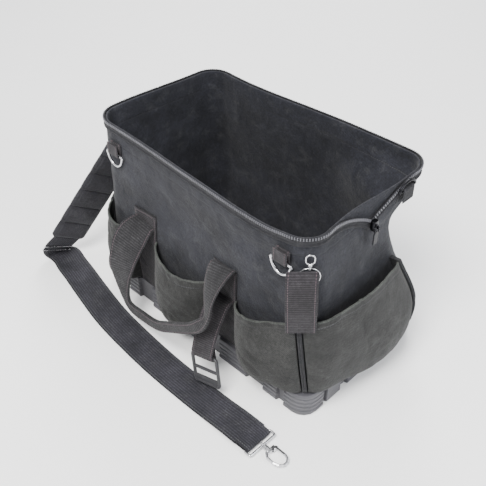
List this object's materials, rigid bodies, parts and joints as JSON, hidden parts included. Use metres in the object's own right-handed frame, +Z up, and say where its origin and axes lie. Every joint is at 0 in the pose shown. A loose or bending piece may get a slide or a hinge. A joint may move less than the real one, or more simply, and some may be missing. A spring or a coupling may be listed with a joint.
{
  "type": "tool bag",
  "caption": "Open fabric tool bag on a ribbed plastic tray, with pockets, webbing handles and a padded shoulder strap.",
  "frame": {"origin": "centre of the tray's flat underside", "axes": "+X towards the right end, -Y towards the long front side, +Z up"},
  "size_m": [0.5363, 0.3631, 0.2907],
  "materials": {
    "tray_plastic": "moulded, scuffed, dark grey",
    "shell_cloth": "coarse woven polyester, bluish charcoal",
    "pocket_cloth": "woven polyester, greenish grey",
    "webbing": "ribbed nylon webbing, dark grey",
    "trim": "black tape and piping",
    "pad_cloth": "padded woven cloth with stitched ribs",
    "dark_plastic": "moulded, dark grey",
    "steel": "bright plated wire",
    "black_steel": "black coated, satin"
  },
  "bodies": {
    "bag": {"base_tray": "tray_plastic", "body_shell": "shell_cloth", "buckle_strap": "webbing", "corner_clip": "steel", "corner_loop": "webbing", "corner_ring": "steel", "end_ring_left": "steel", "end_ring_left_tab": "webbing", "end_ring_right": "black_steel", "end_ring_right_tab": "trim", "front_ring_left": "steel", "front_ring_left_tab": "webbing", "front_ring_right": "steel", "front_ring_right_tab": "webbing", "handle_back": "pocket_cloth", "handle_front": "pocket_cloth", "left_hook": "steel", "left_loop": "steel", "piping_back_left": "trim", "piping_back_right": "trim", "piping_front_left": "trim", "piping_front_right": "trim", "pocket_back_left": "pocket_cloth", "pocket_back_right": "pocket_cloth", "pocket_front_left": "pocket_cloth", "pocket_front_middle": "pocket_cloth", "pocket_front_right": "pocket_cloth", "pocket_left_end": "pocket_cloth", "pocket_right_end": "pocket_cloth", "right_loop": "steel", "slide_buckle": "dark_plastic", "strap_lower": "webbing", "strap_pad": "pad_cloth", "strap_upper": "webbing", "strip_back_left": "webbing", "strip_back_right": "webbing", "strip_front_left": "webbing", "strip_front_right": "webbing", "swivel_eye": "steel", "zip_slider": "black_steel", "zip_tape_back": "trim", "zip_tape_front": "trim"},
    "hook": {"hook_body": "steel"},
    "gate": {"hook_gate": "steel"},
    "pull": {"zip_pull": "black_steel"}
  },
  "joints": [
    {"name": "hook_swivel", "type": "hinge", "parent": "bag", "child": "hook", "pos_m": [0.2014, -0.185, 0.0043], "axis": [1, 0, 0], "continuous": true},
    {"name": "hook_gate", "type": "hinge", "parent": "hook", "child": "gate", "pos_m": [0.2055, -0.176, 0.0043], "axis": [0, 0, -1], "range_deg": [0, 25], "stiffness_Nm_per_rad": 0.02},
    {"name": "zip_pull_hinge", "type": "hinge", "parent": "bag", "child": "pull", "pos_m": [0.19882, -0.0051, 0.25593], "axis": [0, -1, 0], "range_deg": [0, 150]}
  ]
}
